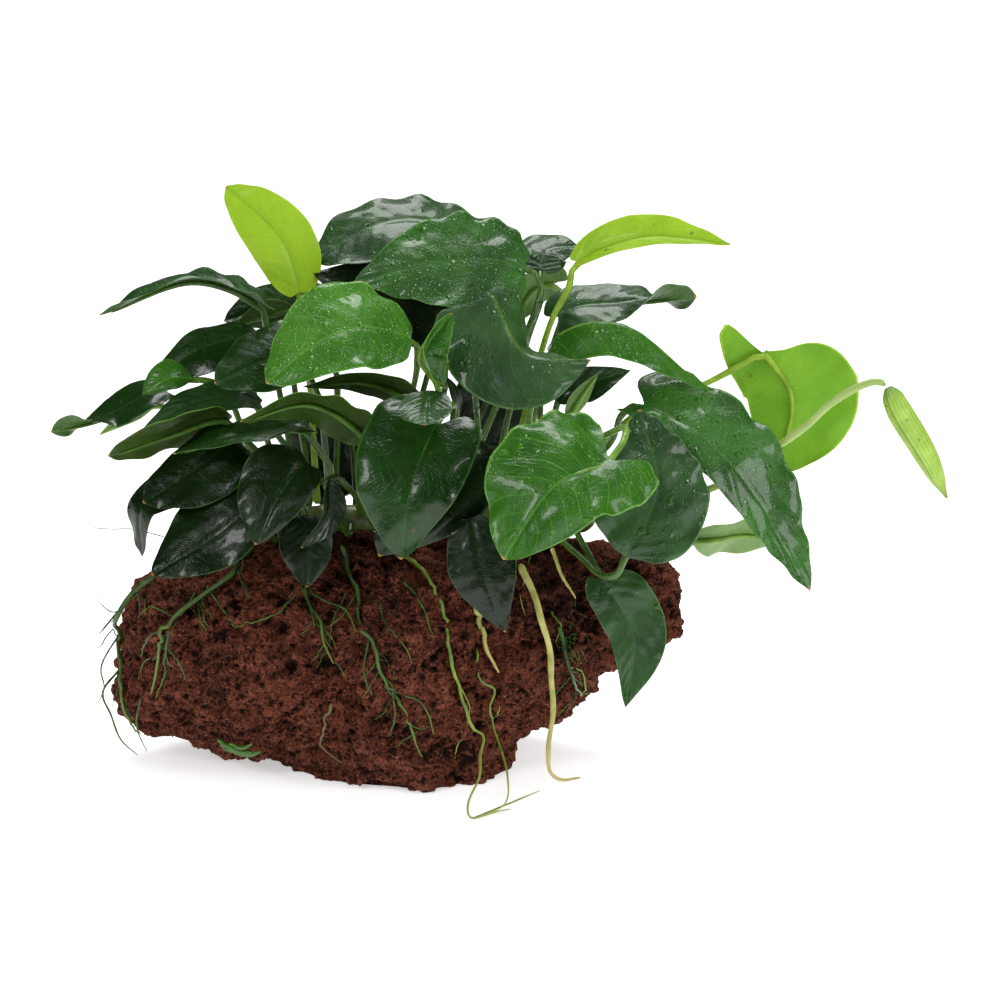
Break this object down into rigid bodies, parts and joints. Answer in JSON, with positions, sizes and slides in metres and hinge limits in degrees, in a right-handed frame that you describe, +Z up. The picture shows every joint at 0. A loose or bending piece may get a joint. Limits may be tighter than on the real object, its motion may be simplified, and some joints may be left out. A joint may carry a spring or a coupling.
{
  "type": "anubias plant on a lava stone",
  "caption": "Water plant with heart-shaped leaves, a closed flower bud and hanging roots, growing on a lump of red lava stone with a flat underside.",
  "frame": {"origin": "the middle of the stone's flat underside, at the surface it rests on", "axes": "+Z up, +X along the stone and towards the flower bud, -Y towards the side the leaves and roots face"},
  "size_m": [0.3514, 0.1609, 0.2329],
  "materials": {
    "lava_stone": "rough, porous, damp",
    "rhizome": "smooth living stem, damp",
    "leaf_old": "glossy wet dark leaf",
    "leaf_mid": "glossy wet leaf",
    "leaf_young": "satin, lets light through",
    "flower": "satin, finely ribbed",
    "root": "smooth, damp"
  },
  "bodies": {
    "root": {"lava_stone": "lava_stone", "rhizome": "rhizome", "leaf_young_upright": "leaf_young", "leaf_arched_left": "leaf_old", "leaf_round_left": "leaf_mid", "leaf_sliver_left": "leaf_old", "leaf_bright_left": "leaf_mid", "leaf_back_top": "leaf_old", "leaf_crown": "leaf_old", "leaf_centre_oval": "leaf_old", "leaf_twisted_small": "leaf_mid", "leaf_mirror_small": "leaf_old", "leaf_front_heart": "leaf_old", "leaf_under_heart": "leaf_old", "leaf_arched_right": "leaf_mid", "leaf_young_right": "leaf_young", "leaf_back_small": "leaf_old", "leaf_pale_back": "leaf_mid", "leaf_dark_twist": "leaf_old", "leaf_pale_right": "leaf_young", "leaf_wet_right": "leaf_old", "leaf_grey_heart": "leaf_old", "leaf_bright_front": "leaf_mid", "leaf_low_right": "leaf_old", "leaf_low_centre": "leaf_old", "leaf_pale_low": "leaf_mid", "leaf_small_inner": "leaf_old", "leaf_pale_inner": "leaf_mid", "leaf_dark_left": "leaf_old", "leaf_large_left": "leaf_old", "leaf_curled_left": "leaf_mid", "leaf_far_left": "leaf_old", "leaf_pale_left": "leaf_mid", "leaf_streaked_left": "leaf_old", "leaf_olive_left": "leaf_mid", "leaf_rimmed_left": "leaf_old", "leaf_olive_big": "leaf_mid", "leaf_olive_strip": "leaf_mid", "leaf_shade_upper": "leaf_old", "leaf_shade_pale": "leaf_mid", "leaf_shade_low": "leaf_old", "leaf_shade_round": "leaf_old", "leaf_shade_narrow": "leaf_mid", "leaf_shade_inner": "leaf_old", "leaf_edge_on": "leaf_mid", "leaf_rear_left": "leaf_old", "leaf_rear_middle": "leaf_old", "leaf_rear_high": "leaf_old", "peduncle": "flower", "spathe": "flower", "root_left_outer": "root", "root_left_cut": "root", "root_front_left": "root", "root_front_middle": "root", "root_to_floor": "root", "root_pale_thick": "root", "root_long_hanging": "root", "root_right": "root", "root_pale_right": "root", "root_tan": "root"}
  },
  "joints": []
}
